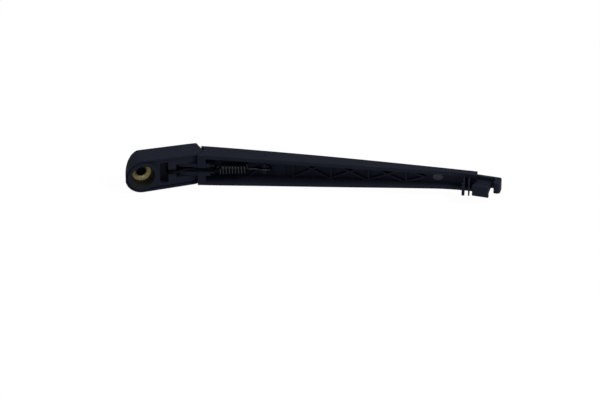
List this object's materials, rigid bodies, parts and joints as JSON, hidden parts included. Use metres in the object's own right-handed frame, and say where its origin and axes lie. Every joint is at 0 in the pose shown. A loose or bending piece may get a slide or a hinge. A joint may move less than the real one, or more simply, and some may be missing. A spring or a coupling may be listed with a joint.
{
  "type": "rear wiper arm",
  "caption": "Dark plastic rear wiper arm seen from its window side: spindle head with brass bush and cover, sprung pivot with wire link and coil spring, ribbed channel arm, hooked blade seat.",
  "frame": {"origin": "centre of the spindle bore at its mouth, on the window side of the brass bush", "axes": "+X along the head towards the tip, +Y along the spindle away from the window, +Z across the arm"},
  "size_m": [0.2768, 0.1056, 0.0284],
  "materials": {
    "head_plastic": "satin moulded",
    "bush_brass": "dull turned",
    "cover_plastic": "satin moulded",
    "pin_steel": "ground",
    "arm_plastic": "satin moulded",
    "link_steel": "blackened",
    "spring_steel": "drawn wire"
  },
  "bodies": {
    "head": {"head_body": "head_plastic", "spindle_bush": "bush_brass", "head_cover": "cover_plastic", "pivot_pin_upper": "pin_steel", "pivot_pin_lower": "pin_steel"},
    "arm": {"arm": "arm_plastic"},
    "link": {"spring_link": "link_steel", "tension_spring": "spring_steel"}
  },
  "joints": [
    {"name": "arm_pivot", "type": "hinge", "parent": "head", "child": "arm", "pos_m": [0.0393, 0.004, 0], "axis": [0, 0, 1], "range_deg": [0, 30], "stiffness_Nm_per_rad": 0.3, "springref_deg": -114.59, "deforming": ["tension_spring"]},
    {"name": "link_swing", "type": "hinge", "parent": "head", "child": "link", "pos_m": [0.02408, -0.00094, 0], "axis": [0, 0, 1], "range_deg": [0, 24]}
  ],
  "couplings": [
    {"joint": "link_swing", "follows": "arm_pivot", "ratio": 0.79302}
  ]
}
